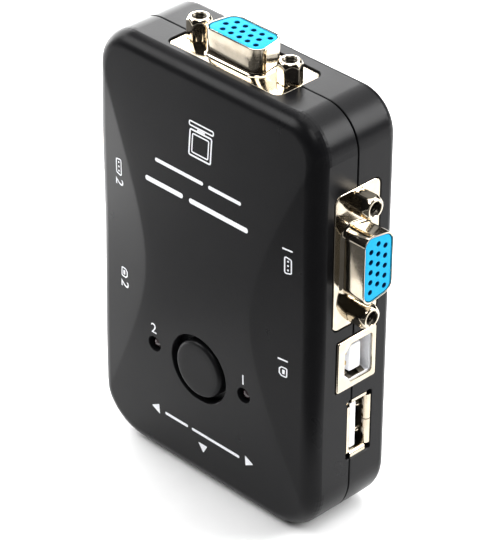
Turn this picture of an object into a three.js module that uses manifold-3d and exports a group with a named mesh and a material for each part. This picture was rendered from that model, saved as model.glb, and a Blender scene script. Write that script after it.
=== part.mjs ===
// Two-port KVM switch box: a two-piece case that stands on its short end, with a sprung push
// button on the front and VGA, USB-B and USB-A sockets round its edges.
//
// Millimetres. Every piece is placed in the case frame: x across the face, y up the face from the
// bottom edge, z out of the front face. The finished case is then stood up, so that +Z is up.

import * as THREE from 'three';
import { mergeVertices } from 'three/addons/utils/BufferGeometryUtils.js';
import Module from 'manifold-3d';

const wasm = await Module();
wasm.setup();

// ---------------------------------------------------------------------------- driving sizes

const CASE_WIDTH = 62.6;
const CASE_HEIGHT = 96.8;
const TOP_CORNER = 8.6;
const BOTTOM_CORNER = 11.4;
const WALL = 2;
const CROWN_PEAK = 11.95;
const CROWN_RADIUS = 455;
const BACK_FACE = -11.95;
const PARTING = -0.75;
const PARTING_GAP = 0.3;
const FRONT_FILLET = 3.5;
const BACK_FILLET = 2.5;

const WAIST_HALF_WIDTH = 15;
const WAIST_ROUNDING = 8;
const WAIST_SPREAD = 0.52;
const SCOOP_SLOPE = 0.13;

const BOARD_FRONT = -7.4;
const BOARD_BACK = -9;
const BOARD_HALF_WIDTH = 28.6;
const BOARD_BOTTOM = 3.2;
const BOARD_TOP = 93.6;
const BOARD_CORNER = 9;

const BUTTON_HEIGHT = 29.2;
const BUTTON_HOLE_RADIUS = 7.85;
const BUTTON_RADIUS = 6.8;
const BUTTON_FACE = 11.85;
const LED_OFFSET = 13.05;
const LED_HOLE_RADIUS = 1.75;

const VGA_AXIS = -0.95;
const VGA_HEIGHT = 65.4;
const USB_B_AXIS = -1.7;
const USB_B_HEIGHT = 40.8;
const USB_A_AXIS = -3.15;
const USB_A_HEIGHT = 24.1;

const PILLAR_X = 22.8;
const PILLAR_HEIGHTS = [9.3, 87.5];

const SIDE_FACE = CASE_WIDTH / 2;
const FIT = 0.15;

const BOSS_RADIUS = 3.2;
const PILLAR_RADIUS = 3.8;
const SCREW_HOLE_RADIUS = 1.5;
const SCREW_HEAD_WELL_RADIUS = 3;
const SCREW_SEAT = BACK_FACE + 1.5;

// The four edges of the case, as turns about z from the top edge.
const TOP = 0;
const RIGHT = -Math.PI / 2;
const LEFT = Math.PI / 2;
const BOTTOM = Math.PI;

// ---------------------------------------------------------------------------- materials

function finish(color, roughness, metalness) {
  return () => new THREE.MeshStandardMaterial({ color, roughness, metalness });
}

const blackPlastic = finish(0x2b2b2e, 0.45, 0);
const buttonPlastic = finish(0x1b1b1d, 0.4, 0);
const nickel = finish(0xcdbfa8, 0.25, 1);
const bluePlastic = finish(0x2fb4e6, 0.4, 0);
const whitePlastic = finish(0xe4e6ea, 0.45, 0);
const housingPlastic = finish(0x1d1d20, 0.6, 0);
const boardLaminate = finish(0x1c5a34, 0.5, 0);
const springSteel = finish(0xb8bcc2, 0.3, 1);
const ledLens = finish(0x5b2326, 0.25, 0);
const screwSteel = finish(0x9a9ca2, 0.35, 1);
const chipEpoxy = finish(0x161618, 0.6, 0);
const canMetal = finish(0xc4c6ca, 0.3, 1);
const capacitorSleeve = finish(0x1a2340, 0.5, 0);

// ---------------------------------------------------------------------------- solid helpers

function solid(geometry) {
  const bare = geometry.clone();
  bare.deleteAttribute('normal');
  bare.deleteAttribute('uv');
  const merged = mergeVertices(bare, 1e-4);
  return new wasm.Manifold(new wasm.Mesh({
    numProp: 3,
    vertProperties: new Float32Array(merged.attributes.position.array),
    triVerts: new Uint32Array(merged.index.array),
  }));
}

function geometryOf(body) {
  const mesh = body.getMesh();
  const geometry = new THREE.BufferGeometry();
  geometry.setAttribute('position', new THREE.BufferAttribute(mesh.vertProperties, 3));
  geometry.setIndex(new THREE.BufferAttribute(mesh.triVerts, 1));
  const flat = geometry.toNonIndexed();
  flat.computeVertexNormals();
  return flat;
}

function piece(name, body, material) {
  const mesh = new THREE.Mesh(geometryOf(body), material());
  mesh.name = name;
  return mesh;
}

// Polygon with round corners, from one radius or from a list with one for each corner.
function roundedOutline(corners, radii) {
  const shape = new THREE.Shape();
  const count = corners.length;
  corners.forEach(([x, y], index) => {
    const radius = Array.isArray(radii) ? radii[index] : radii;
    const corner = new THREE.Vector2(x, y);
    const before = new THREE.Vector2(...corners[(index + count - 1) % count]);
    const after = new THREE.Vector2(...corners[(index + 1) % count]);
    const toBefore = before.sub(corner).normalize();
    const toAfter = after.sub(corner).normalize();
    const halfAngle = Math.acos(toBefore.dot(toAfter)) / 2;
    const tangent = radius / Math.tan(halfAngle);
    const bisector = toBefore.clone().add(toAfter).normalize();
    const centre = corner.clone().addScaledVector(bisector, radius / Math.sin(halfAngle));
    const start = corner.clone().addScaledVector(toBefore, tangent).sub(centre);
    const end = corner.clone().addScaledVector(toAfter, tangent).sub(centre);
    shape.absarc(centre.x, centre.y, radius, start.angle(), end.angle(), false);
  });
  shape.closePath();
  return shape;
}

function rectangle(width, height, radius = 0, centreX = 0, centreY = 0) {
  const left = centreX - width / 2;
  const right = centreX + width / 2;
  const low = centreY - height / 2;
  const high = centreY + height / 2;
  const corners = [[left, low], [right, low], [right, high], [left, high]];
  if (radius > 0) {
    return roundedOutline(corners, radius);
  }
  return new THREE.Shape(corners.map(([x, y]) => new THREE.Vector2(x, y)));
}

function extrude(shape, from, to, curveSegments = 3) {
  const options = { depth: to - from, bevelEnabled: false, curveSegments };
  const geometry = new THREE.ExtrudeGeometry(shape, options);
  geometry.translate(0, 0, from);
  return solid(geometry);
}

// A prism whose two end edges are both rounded.
function filletedBlock(shape, from, to, fillet, curveSegments, filletSegments = 4) {
  const geometry = new THREE.ExtrudeGeometry(shape, {
    depth: to - from - 2 * fillet,
    bevelThickness: fillet,
    bevelSize: fillet,
    bevelOffset: -fillet,
    bevelSegments: filletSegments,
    curveSegments,
  });
  geometry.translate(0, 0, from + fillet);
  return solid(geometry);
}

// A body turned about z, from [radius, z] points that start and end on the axis, lowest first.
function turned(profile, sides, x = 0, y = 0) {
  const points = profile.map(([radius, z]) => new THREE.Vector2(radius, z));
  const geometry = new THREE.LatheGeometry(points, sides);
  geometry.rotateX(Math.PI / 2);
  geometry.translate(x, y, 0);
  return solid(geometry);
}

function rod(radius, from, to, x = 0, y = 0, sides = 16) {
  return turned([[0, from], [radius, from], [radius, to], [0, to]], sides, x, y);
}

function box(width, height, from, to, x = 0, y = 0) {
  return extrude(rectangle(width, height, 0, x, y), from, to);
}

function joined(bodies) {
  return bodies.reduce((sum, body) => sum.add(body));
}

// ---------------------------------------------------------------------------- sockets

// Each socket is drawn in its own frame, looking into its mouth: x along the edge of the case,
// y towards the front face, z out of the case, with z = 0 on its mounting face.

const VGA_FLANGE_WIDTH = 30.8;
const VGA_FLANGE_DEPTH = 12.5;
const VGA_FLANGE_CORNER = 1.6;
const VGA_FLANGE_THICKNESS = 0.8;
const VGA_SHELL_WIDTH = 16.3;
const VGA_SHELL_DEPTH = 8.3;
const VGA_SHELL_RISE = 5.9;
const VGA_SHELL_WALL = 0.45;
const VGA_SHELL_CORNER = 2.4;
const VGA_FACE_RISE = 5.75;
const VGA_PIN_PITCH = 2.29;
const VGA_ROW_SPACING = 1.98;
const VGA_PIN_RADIUS = 0.55;
const VGA_SCREW_OFFSET = 12.495;
const VGA_SCREW_HOLE_RADIUS = 1.6;
const VGA_HOUSING_WIDTH = 25;
const VGA_HOUSING_DEPTH = 11.9;
const VGA_HOUSING_OFFSET = -0.1;
const VGA_HOUSING_BACK = -9.6;
const VGA_HOUSING_FRONT = -1.1;
const VGA_HOUSING_RECESS_WIDTH = 17;
const VGA_HOUSING_RECESS_DEPTH = 7;
const VGA_HOUSING_RECESS_FLOOR = -8;
const JACKSCREW_FLATS = 4.75;
const JACKSCREW_RISE = 4.7;
const JACKSCREW_SHANK_RADIUS = 1.4;
const JACKSCREW_SHANK_END = -6;
const JACKSCREW_THREAD_RADIUS = 1.35;

function dOutline(width, depth, radius) {
  const slant = depth * Math.tan(THREE.MathUtils.degToRad(10));
  const wide = width / 2;
  const narrow = wide - slant;
  const corners = [[-narrow, -depth / 2], [narrow, -depth / 2], [wide, depth / 2], [-wide, depth / 2]];
  return roundedOutline(corners, radius);
}

function vgaShell() {
  const corner = VGA_FLANGE_CORNER;
  const flange = rectangle(VGA_FLANGE_WIDTH, VGA_FLANGE_DEPTH, corner);
  const outer = dOutline(VGA_SHELL_WIDTH, VGA_SHELL_DEPTH, VGA_SHELL_CORNER);
  const innerWidth = VGA_SHELL_WIDTH - 2 * VGA_SHELL_WALL;
  const innerDepth = VGA_SHELL_DEPTH - 2 * VGA_SHELL_WALL;
  const inner = dOutline(innerWidth, innerDepth, VGA_SHELL_CORNER - VGA_SHELL_WALL);
  let body = extrude(flange, -VGA_FLANGE_THICKNESS, 0);
  body = body.add(extrude(outer, -VGA_FLANGE_THICKNESS / 2, VGA_SHELL_RISE));
  body = body.subtract(extrude(inner, -VGA_FLANGE_THICKNESS - 1, VGA_SHELL_RISE + 1));
  for (const side of [-1, 1]) {
    body = body.subtract(rod(VGA_SCREW_HOLE_RADIUS, -2, 1, side * VGA_SCREW_OFFSET, 0, 12));
  }
  return body;
}

function vgaInsulator() {
  const inset = VGA_SHELL_WALL + FIT;
  const width = VGA_SHELL_WIDTH - 2 * inset;
  const depth = VGA_SHELL_DEPTH - 2 * inset;
  let body = extrude(dOutline(width, depth, VGA_SHELL_CORNER - inset), -0.9, VGA_FACE_RISE);
  for (const row of [-1, 0, 1]) {
    const shift = row === 0 ? VGA_PIN_PITCH / 4 : -VGA_PIN_PITCH / 4;
    for (const column of [-2, -1, 0, 1, 2]) {
      const x = column * VGA_PIN_PITCH + shift;
      const y = row * VGA_ROW_SPACING;
      body = body.subtract(rod(VGA_PIN_RADIUS, 1.2, VGA_FACE_RISE + 1, x, y, 8));
    }
  }
  return body;
}

// Moulded block behind the flange, with a recess for the leads of the contacts.
function vgaHousing() {
  const width = VGA_HOUSING_WIDTH;
  const recess = VGA_HOUSING_RECESS_WIDTH;
  const depth = VGA_HOUSING_RECESS_DEPTH;
  let body = box(width, VGA_HOUSING_DEPTH, VGA_HOUSING_BACK, VGA_HOUSING_FRONT, 0, VGA_HOUSING_OFFSET);
  body = body.subtract(box(recess, depth, VGA_HOUSING_BACK - 1, VGA_HOUSING_RECESS_FLOOR, 0, 2));
  const well = JACKSCREW_SHANK_RADIUS + 0.25;
  for (const side of [-1, 1]) {
    body = body.subtract(rod(well, JACKSCREW_SHANK_END - 2, 0, side * VGA_SCREW_OFFSET, 0, 12));
  }
  return body;
}

// Hexagonal standoff with a rounded end and a threaded hole, on a shank that clamps the flange.
function jackscrew() {
  const corners = JACKSCREW_FLATS / 2 / Math.cos(Math.PI / 6);
  const hexagon = rod(corners, 0.1, JACKSCREW_RISE, 0, 0, 6);
  const rounding = turned([
    [0, -1], [corners + 1, -1], [corners + 1, JACKSCREW_RISE - 1.6], [corners - 0.1, JACKSCREW_RISE - 0.8],
    [corners - 0.5, JACKSCREW_RISE - 0.2], [corners - 0.9, JACKSCREW_RISE], [0, JACKSCREW_RISE],
  ], 24);
  const shank = rod(JACKSCREW_SHANK_RADIUS, JACKSCREW_SHANK_END, 0.5, 0, 0, 12);
  const hole = rod(JACKSCREW_THREAD_RADIUS, 1, JACKSCREW_RISE + 1, 0, 0, 12);
  return hexagon.intersect(rounding).add(shank).subtract(hole);
}

// Each jackscrew stops at its own turn, in degrees.
function vgaSocket(name, turns) {
  const group = new THREE.Group();
  group.add(piece(`${name}_shell`, vgaShell(), nickel));
  group.add(piece(`${name}_insulator`, vgaInsulator(), bluePlastic));
  group.add(piece(`${name}_rear_housing`, vgaHousing(), housingPlastic));
  [-1, 1].forEach((side, index) => {
    const screw = piece(`${name}_jackscrew_${index + 1}`, jackscrew(), nickel);
    screw.position.x = side * VGA_SCREW_OFFSET;
    screw.rotation.z = THREE.MathUtils.degToRad(turns[index]);
    group.add(screw);
  });
  return group;
}

const USB_B_WIDTH = 12.04;
const USB_B_DEPTH = 11.1;
const USB_B_LENGTH = 16;
const USB_B_MOUTH_WIDTH = 8.5;
const USB_B_MOUTH_DEPTH = 7.2;
const USB_B_MOUTH_OFFSET = -0.4;
const USB_B_MOUTH_CHAMFER = 1.7;
const USB_B_WALL = 0.4;
const USB_B_POCKET = 9;
const USB_B_TONGUE_WIDTH = 5.6;
const USB_B_TONGUE_DEPTH = 3.1;
const USB_B_TONGUE_END = -1.1;

function usbBMouth(grow) {
  const half = USB_B_MOUTH_WIDTH / 2 + grow;
  const low = USB_B_MOUTH_OFFSET - USB_B_MOUTH_DEPTH / 2 - grow;
  const high = USB_B_MOUTH_OFFSET + USB_B_MOUTH_DEPTH / 2 + grow;
  const chamfer = USB_B_MOUTH_CHAMFER;
  const corners = [
    [-half, low], [half, low], [half, high - chamfer], [half - chamfer, high],
    [-half + chamfer, high], [-half, high - chamfer],
  ];
  return new THREE.Shape(corners.map(([x, y]) => new THREE.Vector2(x, y)));
}

function usbBShell() {
  const innerWidth = USB_B_WIDTH - 2 * USB_B_WALL;
  const innerDepth = USB_B_DEPTH - 2 * USB_B_WALL;
  let body = extrude(rectangle(USB_B_WIDTH, USB_B_DEPTH, 0.5), -USB_B_LENGTH, 0, 2);
  body = body.subtract(box(innerWidth, innerDepth, -USB_B_LENGTH - 1, -USB_B_WALL));
  return body.subtract(extrude(usbBMouth(0.35), -2, 1));
}

function usbBInsulator() {
  const width = USB_B_WIDTH - 2 * (USB_B_WALL + FIT);
  const depth = USB_B_DEPTH - 2 * (USB_B_WALL + FIT);
  const block = box(width, depth, -USB_B_LENGTH + 0.5, -USB_B_WALL - FIT);
  const pocket = extrude(usbBMouth(0), -USB_B_POCKET, 1);
  const root = -USB_B_POCKET - 1;
  const tongueDepth = USB_B_TONGUE_DEPTH;
  const tongue = box(USB_B_TONGUE_WIDTH, tongueDepth, root, USB_B_TONGUE_END, 0, USB_B_MOUTH_OFFSET);
  return block.subtract(pocket).add(tongue);
}

function usbBSocket(name) {
  const group = new THREE.Group();
  group.add(piece(`${name}_shell`, usbBShell(), nickel));
  group.add(piece(`${name}_insulator`, usbBInsulator(), whitePlastic));
  return group;
}

const USB_A_WIDTH = 13.1;
const USB_A_DEPTH = 5.7;
const USB_A_LENGTH = 14;
const USB_A_WALL = 0.35;
const USB_A_LIP = 0.5;
const USB_A_TONGUE_OFFSET = 0.85;
const USB_A_TONGUE_WIDTH = 11.1;
const USB_A_TONGUE_DEPTH = 1.84;
const USB_A_TONGUE_END = -0.9;
const USB_A_POCKET = 9.5;

function usbAShell() {
  const innerWidth = USB_A_WIDTH - 2 * USB_A_WALL;
  const innerDepth = USB_A_DEPTH - 2 * USB_A_WALL;
  let body = extrude(rectangle(USB_A_WIDTH, USB_A_DEPTH, 0.4), -USB_A_LENGTH, -0.1, 2);
  body = body.add(box(USB_A_WIDTH - 3, USB_A_DEPTH + 2 * USB_A_LIP, -0.5, 0));
  body = body.add(box(USB_A_WIDTH + 2 * USB_A_LIP, USB_A_DEPTH - 2, -0.5, 0));
  return body.subtract(box(innerWidth, innerDepth, -USB_A_LENGTH - 1, 1));
}

function usbAInsulator() {
  const width = USB_A_WIDTH - 2 * (USB_A_WALL + FIT);
  const depth = USB_A_DEPTH - 2 * (USB_A_WALL + FIT);
  const block = box(width, depth, -USB_A_LENGTH + 0.3, -USB_A_POCKET);
  const root = -USB_A_POCKET - 1;
  const tongueDepth = USB_A_TONGUE_DEPTH;
  const tongue = box(USB_A_TONGUE_WIDTH, tongueDepth, root, USB_A_TONGUE_END, 0, USB_A_TONGUE_OFFSET);
  return block.add(tongue);
}

function usbASocket(name) {
  const group = new THREE.Group();
  group.add(piece(`${name}_shell`, usbAShell(), nickel));
  group.add(piece(`${name}_insulator`, usbAInsulator(), whitePlastic));
  return group;
}

// Sets a socket into an edge of the case, mouth outwards.
function onEdge(socket, edge, x, y, z) {
  const seat = new THREE.Group();
  seat.position.set(x, y, z);
  seat.rotation.z = edge;
  socket.rotation.set(Math.PI / 2, Math.PI, 0);
  seat.add(socket);
  return seat;
}

const TOP_MOUNTING_FACE = CASE_HEIGHT - 0.3;
const BOTTOM_SOCKET_FACE = 0.3;
const USB_B_FACE = SIDE_FACE + 0.35;
const USB_A_FACE = SIDE_FACE - 0.1;

function sockets() {
  const group = new THREE.Group();
  const sides = [[RIGHT, 1, 'port_1', [-12, 0]], [LEFT, -1, 'port_2', [9, -20]]];
  group.add(onEdge(vgaSocket('vga_monitor', [24, 15]), TOP, 0, TOP_MOUNTING_FACE, VGA_AXIS));
  group.add(onEdge(usbASocket('usb_a_bottom'), BOTTOM, 0, BOTTOM_SOCKET_FACE, USB_A_AXIS));
  for (const [edge, side, port, turns] of sides) {
    group.add(onEdge(vgaSocket(`vga_${port}`, turns), edge, side * SIDE_FACE, VGA_HEIGHT, VGA_AXIS));
    group.add(onEdge(usbBSocket(`usb_b_${port}`), edge, side * USB_B_FACE, USB_B_HEIGHT, USB_B_AXIS));
    group.add(onEdge(usbASocket(`usb_a_${port}`), edge, side * USB_A_FACE, USB_A_HEIGHT, USB_A_AXIS));
  }
  return group;
}

// ---------------------------------------------------------------------------- case

const CLEARANCE = 0.2;
const USB_CUT_OUT_CORNER = 0.6;
const CUT_OUT_INNER_END = -6;
const CUT_OUT_OUTER_END = 3;

// Cut-out for a socket, in the case frame: a rounded hole through one edge of the case.
function cutOut(width, depth, radius, edge, x, y, z) {
  const geometry = new THREE.ExtrudeGeometry(rectangle(width, depth, radius), {
    depth: CUT_OUT_OUTER_END - CUT_OUT_INNER_END,
    bevelEnabled: false,
    curveSegments: 2,
  });
  geometry.translate(0, 0, CUT_OUT_INNER_END);
  const seat = onEdge(new THREE.Mesh(geometry), edge, x, y, z);
  seat.updateMatrixWorld(true);
  geometry.applyMatrix4(seat.children[0].matrixWorld);
  return solid(geometry);
}

function socketCutOuts() {
  const vgaWidth = VGA_FLANGE_WIDTH + 2 * CLEARANCE;
  const vgaDepth = VGA_FLANGE_DEPTH + 2 * CLEARANCE;
  const vgaCorner = VGA_FLANGE_CORNER + CLEARANCE;
  const usbBWidth = USB_B_WIDTH + 2 * CLEARANCE;
  const usbBDepth = USB_B_DEPTH + 2 * CLEARANCE;
  const usbAWidth = USB_A_WIDTH + 2 * (USB_A_LIP + CLEARANCE);
  const usbADepth = USB_A_DEPTH + 2 * (USB_A_LIP + CLEARANCE);
  const usbCorner = USB_CUT_OUT_CORNER;
  const cuts = [
    cutOut(vgaWidth, vgaDepth, vgaCorner, TOP, 0, CASE_HEIGHT, VGA_AXIS),
    cutOut(usbAWidth, usbADepth, usbCorner, BOTTOM, 0, 0, USB_A_AXIS),
  ];
  for (const [edge, x] of [[RIGHT, SIDE_FACE], [LEFT, -SIDE_FACE]]) {
    cuts.push(cutOut(vgaWidth, vgaDepth, vgaCorner, edge, x, VGA_HEIGHT, VGA_AXIS));
    cuts.push(cutOut(usbBWidth, usbBDepth, usbCorner, edge, x, USB_B_HEIGHT, USB_B_AXIS));
    cuts.push(cutOut(usbAWidth, usbADepth, usbCorner, edge, x, USB_A_HEIGHT, USB_A_AXIS));
  }
  return joined(cuts);
}

// Half width of the middle of the front face, narrowest at the waist, between the two scoops.
function middleHalfWidth(y) {
  const spread = WAIST_SPREAD * (y - CASE_HEIGHT / 2);
  return WAIST_HALF_WIDTH + Math.hypot(WAIST_ROUNDING, spread) - WAIST_ROUNDING;
}

// Level of the front face: bowed along its length, and falling away to the sides in the scoops.
function faceLevel(x, y) {
  const bow = (y - CASE_HEIGHT / 2) ** 2 / (2 * CROWN_RADIUS);
  const scoop = SCOOP_SLOPE * Math.max(0, Math.abs(x) - middleHalfWidth(y));
  return CROWN_PEAK - bow - scoop;
}

// The corners at the top of the case are tighter than those at the bottom.
function cornerRadius(y) {
  return y > CASE_HEIGHT / 2 ? TOP_CORNER : BOTTOM_CORNER;
}

// Distance of a point from the outline of the case, set in by inset; positive inside.
function distanceInside(x, y, inset) {
  const corner = cornerRadius(y);
  const dx = Math.abs(x) - (CASE_WIDTH / 2 - corner);
  const dy = Math.abs(y - CASE_HEIGHT / 2) - (CASE_HEIGHT / 2 - corner);
  const beyond = Math.hypot(Math.max(dx, 0), Math.max(dy, 0));
  return corner - inset - beyond - Math.min(Math.max(dx, dy), 0);
}

function outlineHalfWidth(y, inset) {
  const corner = cornerRadius(y);
  const radius = corner - inset;
  const fromEnd = CASE_HEIGHT / 2 - inset - Math.abs(y - CASE_HEIGHT / 2);
  const missing = Math.max(0, radius - fromEnd);
  const arc = Math.sqrt(Math.max(0, radius * radius - missing * missing));
  return CASE_WIDTH / 2 - corner + arc;
}

// The front half of the case as a full block, set in from the outside by inset all round. A box
// of columns and rows is spread over the outline, closer together towards the rounded edges.
function frontBlock(inset, fillet, bottom) {
  const columns = 16;
  const rows = 26;
  const middleShare = 0.25;
  const geometry = new THREE.BoxGeometry(2, 2, 1, columns, rows, 1);
  const place = geometry.attributes.position;
  for (let index = 0; index < place.count; index += 1) {
    const u = place.getX(index);
    const y = CASE_HEIGHT / 2 + (CASE_HEIGHT / 2 - inset) * Math.sin(place.getY(index) * Math.PI / 2);
    const edge = outlineHalfWidth(y, inset);
    const middle = Math.min(middleHalfWidth(y), 0.88 * edge);
    const outer = Math.max(0, (Math.abs(u) - middleShare) / (1 - middleShare));
    const inner = Math.min(1, Math.abs(u) / middleShare);
    const reach = middle * inner + (edge - middle) * Math.sin(outer * Math.PI / 2);
    const x = Math.sign(u) * reach;
    const short = Math.max(0, fillet - Math.max(0, distanceInside(x, y, inset)));
    const drop = fillet - Math.sqrt(fillet * fillet - short * short);
    const top = faceLevel(x, y) - inset - drop;
    place.setXYZ(index, x, y, place.getZ(index) > 0 ? top : bottom);
  }
  return solid(geometry);
}

function slab(from, to) {
  return box(CASE_WIDTH + 20, CASE_HEIGHT + 20, from, to, 0, CASE_HEIGHT / 2);
}

function forEachPillar(action) {
  for (const x of [-PILLAR_X, PILLAR_X]) {
    for (const y of PILLAR_HEIGHTS) {
      action(x, y);
    }
  }
}

function frontCover(cutOuts) {
  const rim = PARTING + PARTING_GAP / 2;
  let body = frontBlock(0, FRONT_FILLET, rim);
  body = body.subtract(frontBlock(WALL, FRONT_FILLET - WALL, rim - 1));
  forEachPillar((x, y) => {
    const ceiling = faceLevel(x, y) - WALL + 0.5;
    body = body.add(rod(BOSS_RADIUS, BOARD_FRONT + CLEARANCE, ceiling, x, y, 16));
    body = body.subtract(rod(SCREW_HOLE_RADIUS - 0.05, BOARD_FRONT - 1, 0.5, x, y, 12));
  });
  body = body.subtract(rod(BUTTON_HOLE_RADIUS, 0, CROWN_PEAK + 1, 0, BUTTON_HEIGHT, 48));
  for (const x of [-LED_OFFSET, LED_OFFSET]) {
    body = body.subtract(rod(LED_HOLE_RADIUS, 0, CROWN_PEAK + 1, x, BUTTON_HEIGHT, 16));
  }
  return body.subtract(cutOuts);
}

const LIP_THICKNESS = 0.9;
const LIP_RISE = 1.6;
const LIP_FIT = 0.25;

function caseOutline(inset) {
  const side = CASE_WIDTH / 2 - inset;
  const corners = [[-side, inset], [side, inset], [side, CASE_HEIGHT - inset], [-side, CASE_HEIGHT - inset]];
  const low = BOTTOM_CORNER - inset;
  const high = TOP_CORNER - inset;
  return roundedOutline(corners, [low, low, high, high]);
}

function backCover(cutOuts) {
  const rim = PARTING - PARTING_GAP / 2;
  let body = filletedBlock(caseOutline(0), BACK_FACE, CROWN_PEAK, BACK_FILLET, 4);
  body = body.intersect(slab(BACK_FACE - 5, rim));
  const lipInset = WALL + LIP_FIT;
  body = body.subtract(extrude(caseOutline(WALL), BACK_FACE + WALL, CROWN_PEAK, 4));
  const lip = extrude(caseOutline(lipInset), rim - 1.5, rim + LIP_RISE, 4);
  const lipHollow = extrude(caseOutline(lipInset + LIP_THICKNESS), rim - 3, rim + LIP_RISE + 1, 4);
  const foot = extrude(caseOutline(WALL / 2), rim - 1.5, rim - 0.5, 4);
  body = body.add(lip.add(foot).subtract(lipHollow));
  forEachPillar((x, y) => {
    body = body.add(rod(PILLAR_RADIUS, BACK_FACE + 1, BOARD_BACK - CLEARANCE, x, y, 20));
  });
  forEachPillar((x, y) => {
    body = body.subtract(rod(SCREW_HEAD_WELL_RADIUS, BACK_FACE - 1, SCREW_SEAT, x, y, 20));
    body = body.subtract(rod(SCREW_HOLE_RADIUS, BACK_FACE - 1, 0, x, y, 12));
  });
  return body.subtract(cutOuts);
}

// Pan-head self-tapping screw with a crossed slot, driven from the back.
function caseScrew() {
  const headBottom = SCREW_SEAT - 0.1;
  const headTop = BACK_FACE + 0.15;
  let body = turned([
    [0, headTop], [1.9, headTop], [2.5, headTop + 0.4], [2.6, headTop + 0.8], [2.6, headBottom],
    [1.3, headBottom], [1.3, -1.2], [0, -0.4],
  ], 16);
  for (const turn of [0, Math.PI / 2]) {
    const slot = new THREE.BoxGeometry(2.8, 0.6, 1.4);
    slot.rotateZ(turn);
    slot.translate(0, 0, headTop);
    body = body.subtract(solid(slot));
  }
  return body;
}

// ---------------------------------------------------------------------------- button and switch

const SWITCH_FRONT = 1;
const SWITCH_SIDE = 8.5;
const CAP_FLANGE_RADIUS = 8.4;
const CAP_FLANGE_FRONT = 8.7;
const CAP_FLANGE_BACK = 7.6;
const CAP_BACK = 6.4;
const CAP_ROOF = 1.6;
const CAP_WALL = 1.2;
const SOCKET_BACK = 5.4;
const PLUNGER_SIDE = 3;
const SPRING_RADIUS = 2.6;
const SPRING_WIRE = 0.25;
const SPRING_TURNS = 4;

function buttonCap() {
  const outside = turned([
    [0, CAP_BACK], [BUTTON_RADIUS, CAP_BACK], [BUTTON_RADIUS, CAP_FLANGE_BACK],
    [CAP_FLANGE_RADIUS, CAP_FLANGE_BACK], [CAP_FLANGE_RADIUS, CAP_FLANGE_FRONT],
    [BUTTON_RADIUS, CAP_FLANGE_FRONT], [BUTTON_RADIUS, BUTTON_FACE - 0.9],
    [BUTTON_RADIUS - 0.12, BUTTON_FACE - 0.45], [BUTTON_RADIUS - 0.45, BUTTON_FACE - 0.12],
    [BUTTON_RADIUS - 0.9, BUTTON_FACE], [0, BUTTON_FACE],
  ], 40);
  const inside = rod(BUTTON_RADIUS - CAP_WALL, 0, BUTTON_FACE - CAP_ROOF, 0, 0, 24);
  const socket = rod(3.1, SOCKET_BACK, BUTTON_FACE - 1, 0, 0, 16);
  const hole = box(PLUNGER_SIDE + 2 * FIT, PLUNGER_SIDE + 2 * FIT, 0, 8.6);
  return outside.subtract(inside).add(socket).subtract(hole);
}

function switchPlunger() {
  return box(PLUNGER_SIDE, PLUNGER_SIDE, -4, 8.3);
}

function switchBody() {
  const block = box(SWITCH_SIDE, SWITCH_SIDE, BOARD_FRONT + 0.1, SWITCH_FRONT);
  const well = PLUNGER_SIDE + 2 * CLEARANCE;
  return block.subtract(box(well, well, -6, SWITCH_FRONT + 1));
}

class Helix extends THREE.Curve {
  getPoint(t, target = new THREE.Vector3()) {
    const angle = 2 * Math.PI * SPRING_TURNS * t;
    const low = SWITCH_FRONT + SPRING_WIRE + 0.1;
    const high = SOCKET_BACK - SPRING_WIRE - 0.1;
    return target.set(
      SPRING_RADIUS * Math.cos(angle),
      SPRING_RADIUS * Math.sin(angle),
      low + (high - low) * t,
    );
  }
}

function switchSpring() {
  const wire = new THREE.Shape();
  wire.absarc(0, 0, SPRING_WIRE, 0, 2 * Math.PI, false);
  const geometry = new THREE.ExtrudeGeometry(wire, {
    steps: SPRING_TURNS * 12,
    curveSegments: 3,
    bevelEnabled: false,
    extrudePath: new Helix(),
  });
  return solid(geometry);
}

// ---------------------------------------------------------------------------- board and its parts

function circuitBoard() {
  const width = 2 * BOARD_HALF_WIDTH;
  const height = BOARD_TOP - BOARD_BOTTOM;
  const middle = (BOARD_TOP + BOARD_BOTTOM) / 2;
  let body = extrude(rectangle(width, height, BOARD_CORNER, 0, middle), BOARD_BACK, BOARD_FRONT, 3);
  forEachPillar((x, y) => {
    body = body.subtract(rod(1.6, BOARD_BACK - 1, BOARD_FRONT + 1, x, y, 12));
  });
  return body;
}

const LAMP_RADIUS = 1.5;
const LAMP_RIM_RADIUS = 1.9;
const LAMP_BASE = 5.2;
const LAMP_DOME_CENTRE = 9.5;
const LEAD_OFFSET = 1.27;
const LEAD_SIDE = 0.5;
const SEAT_GAP = 0.1;

// Round 3 mm lamp on two long leads, its dome just inside the hole in the front cover.
function ledLamp() {
  const rimTop = LAMP_BASE + 1;
  const profile = [[0, LAMP_BASE], [LAMP_RIM_RADIUS, LAMP_BASE], [LAMP_RIM_RADIUS, rimTop]];
  profile.push([LAMP_RADIUS, rimTop]);
  for (const degrees of [0, 22.5, 45, 67.5]) {
    const angle = THREE.MathUtils.degToRad(degrees);
    profile.push([LAMP_RADIUS * Math.cos(angle), LAMP_DOME_CENTRE + LAMP_RADIUS * Math.sin(angle)]);
  }
  profile.push([0, LAMP_DOME_CENTRE + LAMP_RADIUS]);
  let body = turned(profile, 16);
  for (const x of [-LEAD_OFFSET, LEAD_OFFSET]) {
    body = body.add(box(LEAD_SIDE, LEAD_SIDE, BOARD_FRONT + SEAT_GAP, LAMP_BASE + 0.3, x));
  }
  return body;
}

function chip(width, height, thickness) {
  return box(width, height, BOARD_FRONT + SEAT_GAP, BOARD_FRONT + SEAT_GAP + thickness);
}

const CAPACITOR_RADIUS = 2.5;
const CAPACITOR_LENGTH = 8;

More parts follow.
